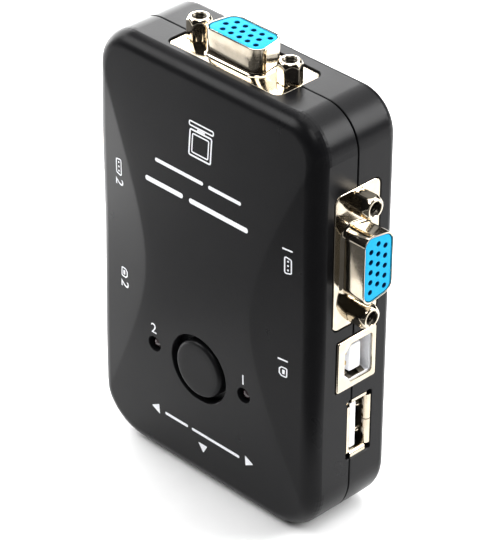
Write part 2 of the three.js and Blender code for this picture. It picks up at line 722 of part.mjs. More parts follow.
function capacitor() {
  const low = BOARD_FRONT + SEAT_GAP;
  const radius = CAPACITOR_RADIUS;
  const groove = low + 1.1;
  const high = low + CAPACITOR_LENGTH;
  return turned([
    [0, low], [radius - 0.2, low], [radius, low + 0.3], [radius, groove - 0.2], [radius - 0.15, groove],
    [radius, groove + 0.2], [radius, high - 0.4], [radius - 0.3, high], [0, high],
  ], 20);
}

const CRYSTAL_WIDTH = 11;
const CRYSTAL_DEPTH = 4.6;
const CRYSTAL_RISE = 3.5;

function crystalCan() {
  const outline = rectangle(CRYSTAL_WIDTH, CRYSTAL_DEPTH, CRYSTAL_DEPTH / 2 - 0.1);
  const low = BOARD_FRONT + SEAT_GAP;
  return filletedBlock(outline, low, low + CRYSTAL_RISE, 0.4, 3, 2);
}

// ---------------------------------------------------------------------------- assembly

function at(mesh, x, y, turn = 0) {
  mesh.position.set(x, y, 0);
  mesh.rotation.z = turn;
  return mesh;
}

// Chips on the board: width, height and thickness, then where each one lies and how it's turned.
const CHIPS = {
  hub_chip: { size: [10.2, 5.3, 1.7], x: 0, y: 56, turn: 0 },
  usb_switch_chip: { size: [5, 4, 1.5], x: 0, y: 45, turn: Math.PI / 2 },
  video_switch_chip_1: { size: [9.9, 3.9, 1.6], x: -8, y: 73, turn: Math.PI / 2 },
  video_switch_chip_2: { size: [9.9, 3.9, 1.6], x: 8, y: 73, turn: Math.PI / 2 },
};
const CRYSTAL_HEIGHT = 64;
const CAPACITOR_OFFSET = 10;
const CAPACITOR_HEIGHT = 52;

function boardParts() {
  const group = new THREE.Group();
  group.add(piece('circuit_board', circuitBoard(), boardLaminate));
  for (const [name, { size, x, y, turn }] of Object.entries(CHIPS)) {
    group.add(at(piece(name, chip(...size), chipEpoxy), x, y, turn));
  }
  group.add(at(piece('crystal', crystalCan(), canMetal), 0, CRYSTAL_HEIGHT));
  group.add(at(piece('capacitor_1', capacitor(), capacitorSleeve), -CAPACITOR_OFFSET, CAPACITOR_HEIGHT));
  group.add(at(piece('capacitor_2', capacitor(), capacitorSleeve), CAPACITOR_OFFSET, CAPACITOR_HEIGHT));
  group.add(at(piece('led_port_1', ledLamp(), ledLens), LED_OFFSET, BUTTON_HEIGHT));
  group.add(at(piece('led_port_2', ledLamp(), ledLens), -LED_OFFSET, BUTTON_HEIGHT));
  return group;
}

function buttonParts() {
  const group = new THREE.Group();
  group.position.y = BUTTON_HEIGHT;
  group.add(piece('button_cap', buttonCap(), buttonPlastic));
  group.add(piece('switch_plunger', switchPlunger(), whitePlastic));
  group.add(piece('switch_body', switchBody(), housingPlastic));
  group.add(piece('switch_spring', switchSpring(), springSteel));
  return group;
}

function caseParts() {
  const group = new THREE.Group();
  const cutOuts = socketCutOuts();
  group.add(piece('front_cover', frontCover(cutOuts), blackPlastic));
  group.add(piece('back_cover', backCover(cutOuts), blackPlastic));
  let number = 1;
  forEachPillar((x, y) => {
    group.add(at(piece(`case_screw_${number}`, caseScrew(), screwSteel), x, y));
    number += 1;
  });
  return group;
}

const kvmSwitch = new THREE.Group();
const uprightCase = new THREE.Group();
uprightCase.rotation.x = Math.PI / 2;
uprightCase.add(caseParts(), boardParts(), buttonParts(), sockets());
kvmSwitch.add(uprightCase);

export default kvmSwitch;
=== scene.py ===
import math

import bmesh
import bpy
from mathutils import Matrix, Vector


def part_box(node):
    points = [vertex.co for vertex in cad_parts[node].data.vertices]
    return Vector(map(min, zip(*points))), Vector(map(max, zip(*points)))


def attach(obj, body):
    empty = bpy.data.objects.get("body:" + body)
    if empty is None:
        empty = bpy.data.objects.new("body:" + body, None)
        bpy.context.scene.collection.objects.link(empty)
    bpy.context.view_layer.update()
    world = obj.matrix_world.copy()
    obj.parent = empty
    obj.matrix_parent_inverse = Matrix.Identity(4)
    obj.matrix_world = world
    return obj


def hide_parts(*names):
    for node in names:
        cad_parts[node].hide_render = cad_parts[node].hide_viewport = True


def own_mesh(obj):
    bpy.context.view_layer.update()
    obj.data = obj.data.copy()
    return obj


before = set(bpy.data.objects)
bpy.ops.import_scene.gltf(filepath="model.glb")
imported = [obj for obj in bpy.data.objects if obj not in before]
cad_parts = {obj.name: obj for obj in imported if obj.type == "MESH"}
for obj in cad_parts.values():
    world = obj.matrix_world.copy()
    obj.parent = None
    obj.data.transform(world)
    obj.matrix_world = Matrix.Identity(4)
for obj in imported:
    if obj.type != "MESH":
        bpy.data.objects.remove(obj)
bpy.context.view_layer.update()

# The KVM switch in its case frame: x across the face, y up the face, z out of the front, in
# millimetres. The world has the same x, with y up as world Z and z out as world -Y.

MM = 0.001
CASE_TO_WORLD = Matrix(((MM, 0, 0, 0), (0, 0, -MM, 0), (0, MM, 0, 0), (0, 0, 0, 1)))


def case_box(node):
    """Lowest and highest corner of a CAD node in the case frame, in millimetres."""
    low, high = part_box(node)
    return Vector((low.x, low.z, -high.y)) / MM, Vector((high.x, high.z, -low.y)) / MM


# ---------------------------------------------------------------- sizes of the case

FRONT_LOW, FRONT_HIGH = case_box("front_cover")
BACK_LOW, BACK_HIGH = case_box("back_cover")
CASE_WIDTH = FRONT_HIGH.x - FRONT_LOW.x
CASE_HEIGHT = FRONT_HIGH.y - FRONT_LOW.y
TOP_CORNER = 8.6
BOTTOM_CORNER = 11.4
WALL = 2
FRONT_RIM = -0.6
BACK_RIM = -0.9
BACK_DEPTH = -BACK_LOW.z
CROWN_PEAK = FRONT_HIGH.z
CROWN_RADIUS = 455
FRONT_FILLET = 3.5
BACK_FILLET = 2.5
WAIST_HALF_WIDTH = 15
WAIST_ROUNDING = 8
WAIST_SPREAD = 0.52
SCOOP_SLOPE = 0.13
CREASE_SOFTNESS = 0.35
CREASE_BAND = 0.4
EDGE_BREAK = 0.12

CAP_LOW, CAP_HIGH = case_box("button_cap")
BUTTON_HEIGHT = (CAP_LOW.y + CAP_HIGH.y) / 2
BUTTON_HOLE_RADIUS = 7.85
LED_OFFSET = 13.05
LED_HOLE_RADIUS = 1.75
FACE_HOLE_DEPTH = 5

BOSS_RADIUS = 3.2
BOSS_BORE_RADIUS = 1.45
BOSS_FOOT = -7.2
PILLAR_RADIUS = 3.8
PILLAR_TOP = -9.2
SCREW_WELL_RADIUS = 3
SCREW_WELL_DEPTH = 1.5

# ---------------------------------------------------------------- camera

CAMERA_PLACE = (0.3841, -0.38055, 0.3919)
CAMERA_AZIMUTH = 45.165
CAMERA_ELEVATION = 32.449
CAMERA_ROLL = 0.444
CAMERA_LENS = 210.68


def make_camera():
    data = bpy.data.cameras.new("camera")
    data.sensor_width = 36
    data.lens = CAMERA_LENS
    data.clip_start = 0.05
    data.clip_end = 20
    camera = bpy.data.objects.new("camera", data)
    bpy.context.scene.collection.objects.link(camera)
    turn = Matrix.Rotation(math.radians(CAMERA_AZIMUTH), 4, "Z")
    tilt = Matrix.Rotation(math.radians(90 - CAMERA_ELEVATION), 4, "X")
    roll = Matrix.Rotation(math.radians(CAMERA_ROLL), 4, "Z")
    camera.matrix_world = Matrix.Translation(CAMERA_PLACE) @ turn @ tilt @ roll
    bpy.context.scene.camera = camera


make_camera()

# ---------------------------------------------------------------- materials

NOISE_LOW = 0.3
NOISE_HIGH = 0.7
SHEEN_CLOUD = 0.012
PLATING_CLOUD = 0.0025
PLATING_RIPPLE = 0.00001
RUBBING_MARK = 0.0003


def new_material(name, color, roughness, metallic=0.0, specular=0.5):
    material = bpy.data.materials.new(name)
    material.use_nodes = True
    shader = material.node_tree.nodes["Principled BSDF"]
    shader.inputs["Base Color"].default_value = (*color, 1)
    shader.inputs["Roughness"].default_value = roughness
    shader.inputs["Metallic"].default_value = metallic
    shader.inputs["Specular IOR Level"].default_value = specular
    return material


def add_noise(material, size, detail=3.0):
    """Noise on the object's own coordinates, with grains about size metres across."""
    tree = material.node_tree
    place = tree.nodes.new("ShaderNodeTexCoord")
    noise = tree.nodes.new("ShaderNodeTexNoise")
    noise.inputs["Scale"].default_value = 1 / size
    noise.inputs["Detail"].default_value = detail
    tree.links.new(place.outputs["Object"], noise.inputs["Vector"])
    return noise.outputs["Fac"]


def vary_roughness(material, noise, low, high):
    tree = material.node_tree
    spread = tree.nodes.new("ShaderNodeMapRange")
    spread.inputs["From Min"].default_value = NOISE_LOW
    spread.inputs["From Max"].default_value = NOISE_HIGH
    spread.inputs["To Min"].default_value = low
    spread.inputs["To Max"].default_value = high
    tree.links.new(noise, spread.inputs["Value"])
    tree.links.new(spread.outputs["Result"], tree.nodes["Principled BSDF"].inputs["Roughness"])


def vary_color(material, noise, dark, light):
    tree = material.node_tree
    ramp = tree.nodes.new("ShaderNodeValToRGB")
    ramp.color_ramp.elements[0].position = NOISE_LOW
    ramp.color_ramp.elements[0].color = (*dark, 1)
    ramp.color_ramp.elements[1].position = NOISE_HIGH
    ramp.color_ramp.elements[1].color = (*light, 1)
    tree.links.new(noise, ramp.inputs["Fac"])
    tree.links.new(ramp.outputs["Color"], tree.nodes["Principled BSDF"].inputs["Base Color"])


def add_bump(material, noise, height, strength):
    tree = material.node_tree
    bump = tree.nodes.new("ShaderNodeBump")
    bump.inputs["Distance"].default_value = height
    bump.inputs["Strength"].default_value = strength
    tree.links.new(noise, bump.inputs["Height"])
    tree.links.new(bump.outputs["Normal"], tree.nodes["Principled BSDF"].inputs["Normal"])


def textured_plastic(name, dark, light, roughness, specular, grain=0.00028, relief=0.00002):
    """Moulded plastic: a fine spark-eroded grain, and a broad uneven sheen."""
    material = new_material(name, light, roughness, specular=specular)
    grains = add_noise(material, grain, 2)
    cloud = add_noise(material, SHEEN_CLOUD)
    vary_color(material, grains, dark, light)
    vary_roughness(material, cloud, roughness - 0.03, roughness + 0.04)
    add_bump(material, grains, relief, 0.6)
    return material


def plated_metal(name, dark, light, roughness):
    """Bright plating over pressed sheet: slightly uneven reflections and fine rubbing marks."""
    material = new_material(name, light, roughness, metallic=1)
    cloud = add_noise(material, PLATING_CLOUD)
    rubbing = add_noise(material, RUBBING_MARK, 4)
    vary_color(material, cloud, dark, light)
    vary_roughness(material, rubbing, roughness - 0.04, roughness + 0.06)
    add_bump(material, cloud, PLATING_RIPPLE, 0.5)
    return material


BLACK = textured_plastic("black_case", (0.0045, 0.0045, 0.0051), (0.0065, 0.0065, 0.0073), 0.3, 0.11)
BUTTON = textured_plastic("button_case", (0.005, 0.005, 0.0055), (0.007, 0.007, 0.0077), 0.32, 0.11)
NICKEL = plated_metal("nickel_plate", (0.55, 0.48, 0.37), (0.67, 0.60, 0.49), 0.1)
# Dark metal for deep bores and the inner walls of the sockets: painted shade, darker than the plating it
# stands in for.
SHADE_PAINTED_METAL = plated_metal("shade_painted_metal", (0.07, 0.06, 0.05), (0.11, 0.10, 0.08), 0.3)
BLUE = textured_plastic("blue_insulator", (0.009, 0.32, 0.61), (0.013, 0.38, 0.70), 0.5, 0.06)
# Dark blue for the inside of the pin holes: painted shade standing for the depth of the holes.
SHADE_PAINTED_BLUE = textured_plastic("blue_hole_painted_shade", (0.004, 0.03, 0.09), (0.006, 0.04, 0.12), 0.6, 0.05)
WHITE = textured_plastic("white_insulator", (0.78, 0.79, 0.82), (0.86, 0.87, 0.90), 0.42, 0.5)
HOUSING = textured_plastic("black_housing", (0.012, 0.012, 0.014), (0.02, 0.02, 0.022), 0.55, 0.4)
GOLD = plated_metal("gold_contact", (0.78, 0.52, 0.20), (0.92, 0.68, 0.32), 0.22)
STEEL = plated_metal("spring_wire", (0.50, 0.50, 0.52), (0.62, 0.62, 0.64), 0.25)
ZINC = plated_metal("zinc_screw", (0.45, 0.45, 0.47), (0.60, 0.60, 0.62), 0.3)
CAN = plated_metal("crystal_can", (0.66, 0.66, 0.68), (0.76, 0.76, 0.78), 0.25)
LENS = textured_plastic("lamp_lens", (0.018, 0.012, 0.013), (0.03, 0.018, 0.02), 0.12, 0.6, 0.002)
LAMINATE = textured_plastic("board_mask", (0.008, 0.07, 0.025), (0.012, 0.11, 0.04), 0.4, 0.5, 0.0015)
EPOXY = textured_plastic("chip_epoxy", (0.009, 0.009, 0.01), (0.02, 0.02, 0.021), 0.6, 0.4)
SLEEVE = textured_plastic("capacitor_film", (0.008, 0.012, 0.04), (0.012, 0.02, 0.07), 0.35, 0.5, 0.002)
INK = textured_plastic("white_ink", (0.74, 0.75, 0.78), (0.88, 0.89, 0.92), 0.55, 0.3, 0.0002)
CHARCOAL = textured_plastic("dark_card", (0.045, 0.045, 0.045), (0.055, 0.055, 0.055), 0.9, 0.0, 0.01, 0.0)
GREY = textured_plastic("grey_card", (0.43, 0.43, 0.43), (0.47, 0.47, 0.47), 0.9, 0.0, 0.01, 0.0)
PALE = textured_plastic("pale_floor", (0.86, 0.86, 0.86), (0.89, 0.89, 0.89), 0.7, 0.2, 0.01, 0.0)

# ---------------------------------------------------------------- mesh helpers


def rounded(corners, radius, steps=5):
    """Outline of a polygon with round corners, as a function of how far it is grown."""
    arcs = []
    for index, corner in enumerate(corners):
        here = Vector(corner)
        to_before = (Vector(corners[index - 1]) - here).normalized()
        to_after = (Vector(corners[(index + 1) % len(corners)]) - here).normalized()
        half = to_before.angle(to_after) / 2
        centre = here + (to_before + to_after).normalized() * (radius / math.sin(half))
        start = here + to_before * (radius / math.tan(half)) - centre
        first = math.atan2(start.y, start.x)
        arcs.append((centre, first, math.pi - 2 * half))

    def outline(grow):
        points = []
        for centre, first, sweep in arcs:
            for step in range(steps + 1):
                angle = first + sweep * step / steps
                reach = radius + grow
                points.append((centre.x + reach * math.cos(angle), centre.y + reach * math.sin(angle)))
        return points

    return outline


def rectangle(width, height, radius, x=0, y=0, steps=5):
    left, right, low, high = x - width / 2, x + width / 2, y - height / 2, y + height / 2
    return rounded([(left, low), (right, low), (right, high), (left, high)], radius, steps)


def circle(radius, sides, x=0, y=0):
    def outline(grow):
        turns = [2 * math.pi * index / sides for index in range(sides)]
        reach = radius + grow
        return [(x + reach * math.cos(turn), y + reach * math.sin(turn)) for turn in turns]

    return outline


def loft(bm, rings, cap_first=False, cap_last=False):
    loops = [[bm.verts.new(point) for point in ring] for ring in rings]
    count = len(loops[0])
    for first, second in zip(loops, loops[1:]):
        for index in range(count):
            after = (index + 1) % count
            bm.faces.new((first[index], first[after], second[after], second[index]))
    if cap_first:
        bm.faces.new(loops[0][::-1])
    if cap_last:
        bm.faces.new(loops[-1])
    return loops


def level_ring(outline, grow, level):
    return [(x, y, level) for x, y in outline(grow)]


def sheet(bm, *walls):
    """A solid between two flat faces. Each wall is an outline and its [grow, level] steps from
    the upper face to the lower one; the first wall is the outside, the others are holes."""
    upper, lower = [], []
    for outline, steps in walls:
        loops = loft(bm, [level_ring(outline, grow, level) for grow, level in steps])
        upper.append(loops[0])
        lower.append(loops[-1])
    for loops in (upper, lower):
        edges = [bm.edges.get(pair) for loop in loops for pair in zip(loop, loop[1:] + loop[:1])]
        bmesh.ops.triangle_fill(bm, edges=edges, use_beauty=True)


def turned(bm, profile, sides=48, x=0, y=0):
    """A solid of revolution about z from [radius, level] steps, closed by flat ends."""
    outline = circle(0, sides, x, y)
    loft(bm, [level_ring(outline, radius, level) for radius, level in profile], True, True)


def soft_edge(radius, level, direction, steps=3):
    """[grow, level] steps of a rounded upper edge, from the flat face out to the wall."""
    profile = []
    for step in range(steps + 1):
        turn = math.pi / 2 * step / steps
        profile.append((direction * radius * (math.sin(turn) - 1), level - radius * (1 - math.cos(turn))))
    return profile


def block(width, height, low, high, edge, x=0, y=0):
    """[outline, steps] of a bar with rounded upper edges, for sheet()."""
    return rectangle(width, height, edge * 1.5, x, y, 3), [*soft_edge(edge, high, 1), (0, low)]


def bent_strip(bm, line, width, thickness, place):
    """Sheet metal of even thickness that follows a line of (along, height) points."""
    points = [Vector(point) for point in line]
    upper = []
    for index, point in enumerate(points):
        before = points[max(index - 1, 0)]
        after = points[min(index + 1, len(points) - 1)]
        run = (after - before).normalized()
        upper.append(point + Vector((-run.y, run.x)) * thickness)
    section = points + upper[::-1]
    ends = []
    for side in (-width / 2, width / 2):
        ends.append([bm.verts.new(place @ Vector((side, point.x, point.y))) for point in section])
    first, second = ends
    count = len(points)
    total = len(section)
    for index in range(total):
        after = (index + 1) % total
        bm.faces.new((first[index], first[after], second[after], second[index]))
    for loop in (first, second):
        for index in range(count - 1):
            bm.faces.new((loop[index], loop[index + 1], loop[total - 2 - index], loop[total - 1 - index]))


def finish_piece(name, mesh, material, stands_for, body):
    mesh.materials.append(material)
    piece = bpy.data.objects.new(name, mesh)
    bpy.context.scene.collection.objects.link(piece)
    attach(piece, body)
    if stands_for:
        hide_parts(*stands_for)
    return piece


def add_piece(name, bm, place, material, stands_for=(), body="case", sharp=32):
    bmesh.ops.recalc_face_normals(bm, faces=bm.faces)
    mesh = bpy.data.meshes.new(name)
    bm.to_mesh(mesh)
    bm.free()
    mesh.transform(place)
    mesh.shade_smooth()
    mesh.set_sharp_from_angle(angle=math.radians(sharp))
    return finish_piece(name, mesh, material, stands_for, body)


def paint_shade_inside(piece, place, material, is_inside):
    """Paints shade into a hole: gives the faces in it their own, darker material as painted shade.
    is_inside tells them from the face's centre in the frame that place puts in the world."""
    mesh = piece.data
    mesh.materials.append(material)
    back = place.inverted()
    for polygon in mesh.polygons:
        if is_inside(back @ polygon.center):
            polygon.material_index = 1


# ---------------------------------------------------------------- case covers


def middle_half_width(y):
    spread = WAIST_SPREAD * (y - CASE_HEIGHT / 2)
    return WAIST_HALF_WIDTH + math.hypot(WAIST_ROUNDING, spread) - WAIST_ROUNDING


def front_level(x, y):
    """Level of the front face: bowed along its length, and falling away in the two scoops."""
    bow = (y - CASE_HEIGHT / 2) ** 2 / (2 * CROWN_RADIUS)
    beyond = abs(x) - middle_half_width(y)
    scoop = SCOOP_SLOPE * (beyond + math.hypot(beyond, CREASE_SOFTNESS)) / 2
    return CROWN_PEAK - bow - scoop


def back_level(x, y):
    return BACK_DEPTH


def corner_radius(y):
    return TOP_CORNER if y > CASE_HEIGHT / 2 else BOTTOM_CORNER


def inside_outline(x, y):
    """How far a point is inside the outline of the case, and the way out from there."""
    corner = corner_radius(y)
    dx = abs(x) - (CASE_WIDTH / 2 - corner)
    dy = abs(y - CASE_HEIGHT / 2) - (CASE_HEIGHT / 2 - corner)
    if dx > 0 and dy > 0:
        way = Vector((dx, dy)).normalized()
        depth = corner - math.hypot(dx, dy)
    elif dx > dy:
        way = Vector((1, 0))
        depth = corner - dx
    else:
        way = Vector((0, 1))
        depth = corner - dy
    return depth, Vector((math.copysign(way.x, x), math.copysign(way.y, y - CASE_HEIGHT / 2)))


def cover_grid(inset, rows=72, middle_columns=16, scoop_columns=12):
    """Rows of points over the face inside the fillet, with columns that follow the creases."""
    half_height = CASE_HEIGHT / 2 - inset
    grid = []
    for row in range(rows + 1):
        rise = half_height * math.sin((2 * row / rows - 1) * math.pi / 2)
        y = CASE_HEIGHT / 2 + rise
        corner = corner_radius(y) - inset
        missing = max(0, corner - half_height + abs(rise))
        edge = CASE_WIDTH / 2 - inset - corner + math.sqrt(max(0, corner**2 - missing**2))
        crease = min(middle_half_width(y), 0.95 * edge)
        flat_end = crease - CREASE_BAND
        scoop_start = crease + CREASE_BAND
        right = [flat_end, crease, scoop_start]
        for step in range(1, scoop_columns + 1):
            right.append(scoop_start + (edge - scoop_start) * step / scoop_columns)
        middle = [flat_end * (2 * step / middle_columns - 1) for step in range(1, middle_columns)]
        across = [-x for x in right[::-1]] + middle + right
        grid.append([(x, y) for x in across])
    return grid


def cover_block(level, side, fillet, inset, rim, edge_break):
    """One half of the case as a closed block; side is 1 for the front and -1 for the back."""
    bm = bmesh.new()
    grid = cover_grid(inset + fillet)
    face = [[bm.verts.new((x, y, side * (level(x, y) - inset))) for x, y in row] for row in grid]
    for lower, upper in zip(face, face[1:]):
        for column in range(len(lower) - 1):
            bm.faces.new((lower[column], lower[column + 1], upper[column + 1], upper[column]))
    rows, columns = len(face) - 1, len(face[0]) - 1
    border = [(0, column) for column in range(columns)]
    border += [(row, columns) for row in range(rows)]
    border += [(rows, column) for column in range(columns, 0, -1)]
    border += [(row, 0) for row in range(rows, 0, -1)]
    feet = [Vector(grid[row][column]) for row, column in border]
    ways = [inside_outline(*foot)[1] for foot in feet]
    previous = [face[row][column] for row, column in border]
    rings = []
    fillet_steps = 9
    for step in range(1, fillet_steps + 1):
        turn = math.pi / 2 * step / fillet_steps
        out, drop = fillet * math.sin(turn), fillet * (1 - math.cos(turn))
        rings.append([(out, None, drop)] * len(border))
    rings.append([(fillet, rim + side * edge_break, 0)] * len(border))
    rings.append([(fillet - edge_break, rim, 0)] * len(border))
    for ring in rings:
        loop = []
        for foot, way, (out, fixed, drop) in zip(feet, ways, ring):
            spot = foot + way * out
            height = fixed if fixed is not None else side * (level(spot.x, spot.y) - inset - drop)
            loop.append(bm.verts.new((spot.x, spot.y, height)))
        for index in range(len(loop)):
            after = (index + 1) % len(loop)
            bm.faces.new((previous[index], previous[after], loop[after], loop[index]))
        previous = loop
    bm.faces.new(previous)
    bmesh.ops.recalc_face_normals(bm, faces=bm.faces)
    return bm


def merge_into(bm, part):
    """Adds a closed part to bm, with its faces turned outwards."""
    bmesh.ops.recalc_face_normals(part, faces=part.faces)
    mesh = bpy.data.meshes.new("part")
    part.to_mesh(mesh)
    part.free()
    bm.from_mesh(mesh)
    bpy.data.meshes.remove(mesh)


def as_object(bm, name):
    mesh = bpy.data.meshes.new(name)
    bm.to_mesh(mesh)
    bm.free()
    body = bpy.data.objects.new(name, mesh)
    bpy.context.scene.collection.objects.link(body)
    return body


def combined(body, operation, tool):
    change = body.modifiers.new("combine", "BOOLEAN")
    change.operation = operation
    change.solver = "EXACT"
    change.object = tool
    bpy.context.view_layer.update()
    depsgraph = bpy.context.evaluated_depsgraph_get()
    mesh = bpy.data.meshes.new_from_object(body.evaluated_get(depsgraph))
    body.modifiers.clear()
    body.data = mesh
    bpy.data.objects.remove(tool)
    return body


EDGE_TURNS = {"top": (0, 0, 1), "right": (1, 0, 0), "left": (-1, 0, 0), "bottom": (0, 0, -1)}


def socket_place(node, edge, proud):
    """From a socket's own frame to the world: z out of the case, y towards the front face, and
    z = 0 on the mounting face, which is proud millimetres below the node's outermost face."""
    low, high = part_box(node)
    out = Vector(EDGE_TURNS[edge])
    front = Vector((0, -1, 0))
    along = front.cross(out)
    centre = (low + high) / 2
    half = (high - low) / 2
    reach = abs(half.dot(out))
    origin = centre + out * (reach - proud * MM)
    turn = Matrix((along, front, out)).transposed()
    return Matrix.Translation(origin) @ turn.to_4x4() @ Matrix.Scale(MM, 4)


VGA_RISE = 5.9
STANDOFF_TURNS = {"vga_monitor": (24, 15), "vga_port_1": (-12, 0), "vga_port_2": (9, -20)}
SOCKETS = [
    ("vga_monitor", "vga", "top"), ("vga_port_1", "vga", "right"), ("vga_port_2", "vga", "left"),
    ("usb_b_port_1", "usb_b", "right"), ("usb_b_port_2", "usb_b", "left"),
    ("usb_a_port_1", "usb_a", "right"), ("usb_a_port_2", "usb_a", "left"),
    ("usb_a_bottom", "usb_a", "bottom"),
]
CASE_EDGES = {"top": CASE_HEIGHT, "bottom": 0, "right": CASE_WIDTH / 2, "left": CASE_WIDTH / 2}
OPENINGS = {"vga": (31.2, 12.9, 1.8), "usb_b": (12.44, 11.5, 0.6), "usb_a": (14.5, 7.1, 0.6)}


def place_of(name, kind, edge):
    return socket_place(f"{name}_shell", edge, VGA_RISE if kind == "vga" else 0)


def wall_above(place, edge):
    """Level of the case's outer wall in a socket's own frame."""
    out = Vector(EDGE_TURNS[edge])
    return CASE_EDGES[edge] - place.translation.dot(out) / MM


def socket_cutters():
    """One tool with a hole for each socket, its outer edge slightly broken."""
    bm = bmesh.new()
    to_case = CASE_TO_WORLD.inverted()
    for name, kind, edge in SOCKETS:
        place = place_of(name, kind, edge)
        width, depth, corner = OPENINGS[kind]
        wall = wall_above(place, edge)
        outline = rectangle(width, depth, corner)
        flare = EDGE_BREAK * 2
        steps = [(0, wall - 6), (0, wall - EDGE_BREAK), (flare, wall + EDGE_BREAK), (flare, wall + 4)]
        part = bmesh.new()
        loft(part, [level_ring(outline, grow, level) for grow, level in steps], True, True)
        part.transform(to_case @ place)
        merge_into(bm, part)
    return bm


def round_cutter(bm, x, y, radius, edge, depth, level, side=1):
    """A round hole in the front or back face that follows the face's tilt, with a soft edge."""
    slope = (level(x, y + 1) - level(x, y - 1)) / 2
    tilt = Matrix.Rotation(math.atan(slope), 4, "X")
    turn = Matrix.Identity(4) if side > 0 else Matrix.Rotation(math.pi, 4, "X")
    place = Matrix.Translation((x, y, side * level(x, y))) @ tilt @ turn
    flare = [(grow, height) for grow, height in soft_edge(edge, 0, -1)]
    profile = [(radius + flare[0][0], 4)] + [(radius + grow, height) for grow, height in flare]
    profile.append((radius, -depth))
    part = bmesh.new()
    turned(part, profile, 96)
    part.transform(place)
    merge_into(bm, part)


def smooth_cover(mesh, level, side, fillet):
    """Shading normals of the outer skin from its formula; the cut edges stay crisp."""

    def skin_normal(x, y):
        depth, way = inside_outline(x, y)
        step = 0.05
        slope_x = (level(x + step, y) - level(x - step, y)) / (2 * step)
        slope_y = (level(x, y + step) - level(x, y - step)) / (2 * step)
        up = Vector((-slope_x, -slope_y, 1)).normalized()
        lift = min(1, max(0, 1 - depth / fillet))
        turn = math.asin(lift)
        out = Vector((way.x, way.y, 0))
        normal = (out * math.sin(turn) + up * math.cos(turn)).normalized()
        return Vector((normal.x, normal.y, side * normal.z))

    def on_skin(centre, normal):
        depth, way = inside_outline(centre.x, centre.y)
        if depth < 0.03 and abs(normal.z) < 0.2:
            return "wall"
        clear = max(0, fillet - max(0, depth))
        drop = fillet - math.sqrt(max(0, fillet**2 - clear**2))
        gap = abs(side * centre.z - (level(centre.x, centre.y) - drop))
        if gap < 0.07 and normal.dot(skin_normal(centre.x, centre.y)) > 0.93:
            return "face"
        return None

    normals = [Vector((0, 0, 0))] * len(mesh.loops)
    for polygon in mesh.polygons:
        kind = on_skin(polygon.center, polygon.normal)
        for loop in polygon.loop_indices:
            spot = mesh.vertices[mesh.loops[loop].vertex_index].co
            if kind == "wall":
                way = inside_outline(spot.x, spot.y)[1]
                normals[loop] = Vector((way.x, way.y, 0))
            elif kind == "face":
                normals[loop] = skin_normal(spot.x, spot.y)
            else:
                normals[loop] = polygon.normal.copy()
    mesh.shade_smooth()
    mesh.normals_split_custom_set(normals)


SCREW_NODES = ["case_screw_1", "case_screw_2", "case_screw_3", "case_screw_4"]


def screw_places():
    places = []
    for node in SCREW_NODES:
        low, high = case_box(node)
        places.append(((low.x + high.x) / 2, (low.y + high.y) / 2))
    return places


def make_front():
    shell = as_object(cover_block(front_level, 1, FRONT_FILLET, 0, FRONT_RIM, EDGE_BREAK), "front_work")
    hollow = as_object(cover_block(front_level, 1, FRONT_FILLET - WALL, WALL, FRONT_RIM - 1, 0.1), "hollow")
    shell = combined(shell, "DIFFERENCE", hollow)
    bosses = bmesh.new()
    for x, y in screw_places():
        part = bmesh.new()
        steps = [(0, front_level(x, y) - 1), (0, BOSS_FOOT)]
        sheet(part, (circle(BOSS_RADIUS, 32, x, y), steps), (circle(BOSS_BORE_RADIUS, 24, x, y), steps))
        merge_into(bosses, part)
    shell = combined(shell, "UNION", as_object(bosses, "bosses"))
    holes = socket_cutters()
    round_cutter(holes, 0, BUTTON_HEIGHT, BUTTON_HOLE_RADIUS, 0.3, FACE_HOLE_DEPTH, front_level)
    for x in (-LED_OFFSET, LED_OFFSET):
        round_cutter(holes, x, BUTTON_HEIGHT, LED_HOLE_RADIUS, 0.2, FACE_HOLE_DEPTH, front_level)
    shell = combined(shell, "DIFFERENCE", as_object(holes, "holes"))
    mesh = shell.data
    bpy.data.objects.remove(shell)
    smooth_cover(mesh, front_level, 1, FRONT_FILLET)
    mesh.transform(CASE_TO_WORLD)
    finish_piece("front_shell", mesh, BLACK, ["front_cover"], "case")


def make_back():
    shell = as_object(cover_block(back_level, -1, BACK_FILLET, 0, BACK_RIM, EDGE_BREAK), "back_work")
    hollow = as_object(cover_block(back_level, -1, BACK_FILLET - WALL, WALL, BACK_RIM + 1, 0.1), "hollow")
    shell = combined(shell, "DIFFERENCE", hollow)
    pillars = bmesh.new()
    holes = socket_cutters()
    for x, y in screw_places():
        turned(pillars, [(PILLAR_RADIUS, -BACK_DEPTH + 1), (PILLAR_RADIUS, PILLAR_TOP)], 32, x, y)
        round_cutter(holes, x, y, SCREW_WELL_RADIUS, 0.25, SCREW_WELL_DEPTH, back_level, -1)
    bmesh.ops.recalc_face_normals(pillars, faces=pillars.faces)
    shell = combined(shell, "UNION", as_object(pillars, "pillars"))
    shell = combined(shell, "DIFFERENCE", as_object(holes, "holes"))
    mesh = shell.data
    bpy.data.objects.remove(shell)
    smooth_cover(mesh, back_level, -1, BACK_FILLET)
    mesh.transform(CASE_TO_WORLD)
    finish_piece("back_shell", mesh, BLACK, ["back_cover"], "case")


make_front()
make_back()

# ---------------------------------------------------------------- VGA sockets

FLANGE_WIDTH = 30.8
FLANGE_DEPTH = 12.5
FLANGE_THICKNESS = 0.8
D_HALF_WIDTH = 8.15
D_HALF_DEPTH = 4.15
D_SLANT_DEGREES = 10
D_CORNER = 2.4
D_WALL = 0.45
D_FLARE = 0.85
VGA_FACE = 5.75
VGA_BLOCK_BACK = -0.9
PIN_PITCH = 2.29
ROW_SPACING = 1.98
PIN_HOLE_RADIUS = 0.55
CONTACT_TOP = 3.6
SCREW_OFFSET = 12.495
STANDOFF_FLATS = 4.75
STANDOFF_SHANK_RADIUS = 1.4
THREAD_RADIUS = 1.3
THREAD_HEIGHT = 0.22
THREAD_PITCH = 0.64


